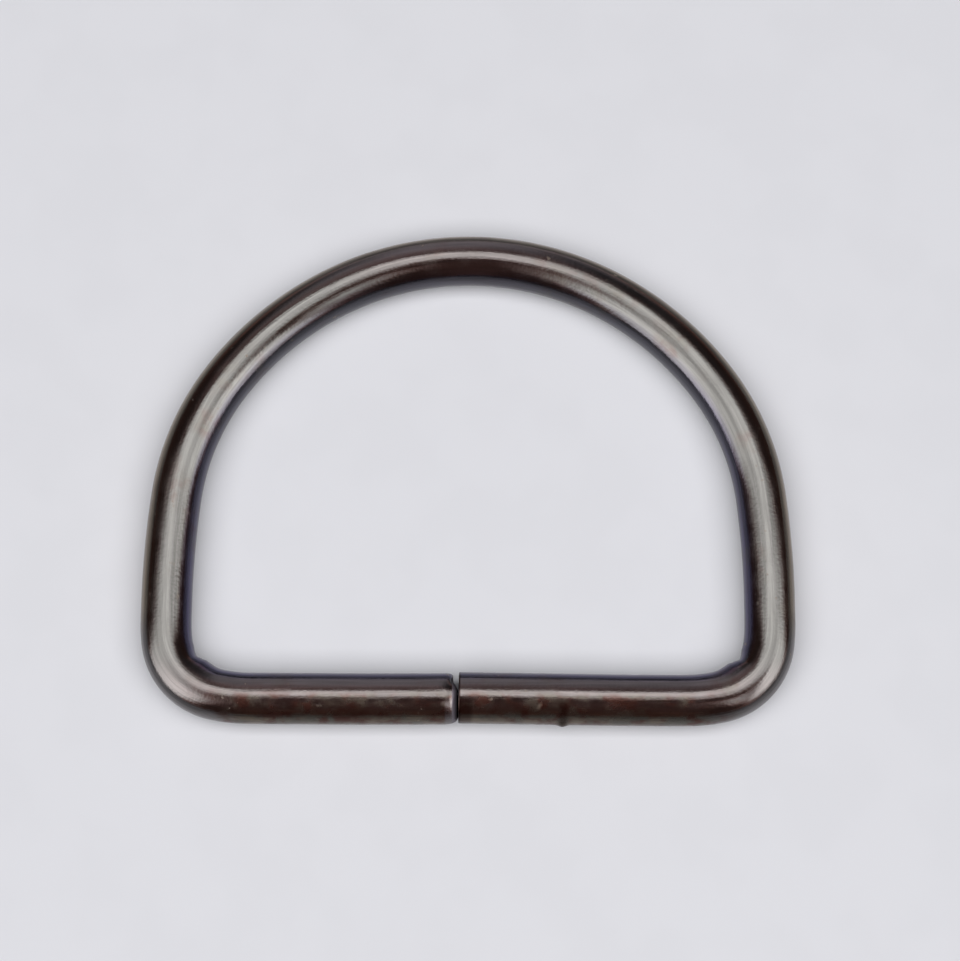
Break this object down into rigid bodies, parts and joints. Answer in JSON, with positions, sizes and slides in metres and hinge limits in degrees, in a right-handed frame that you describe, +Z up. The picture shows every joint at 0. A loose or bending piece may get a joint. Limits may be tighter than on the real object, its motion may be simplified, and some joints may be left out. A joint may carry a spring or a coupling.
{
  "type": "d ring",
  "caption": "D-shaped strap ring of bent round wire: a straight bar that carries the strap, two short legs and a round bow, with an open butt joint in the bar.",
  "frame": {"origin": "centre of the footprint, on the surface that the ring lies on", "axes": "+X along the straight bar, +Y from the bar towards the crown of the bow, +Z up through the ring's flat side"},
  "size_m": [0.045, 0.0352, 0.0035],
  "materials": {
    "plated_wire": "dark nickel plating on steel wire, mirror-like with a fine grain and small bright specks"
  },
  "bodies": {
    "root": {"ring": "plated_wire"}
  },
  "joints": []
}
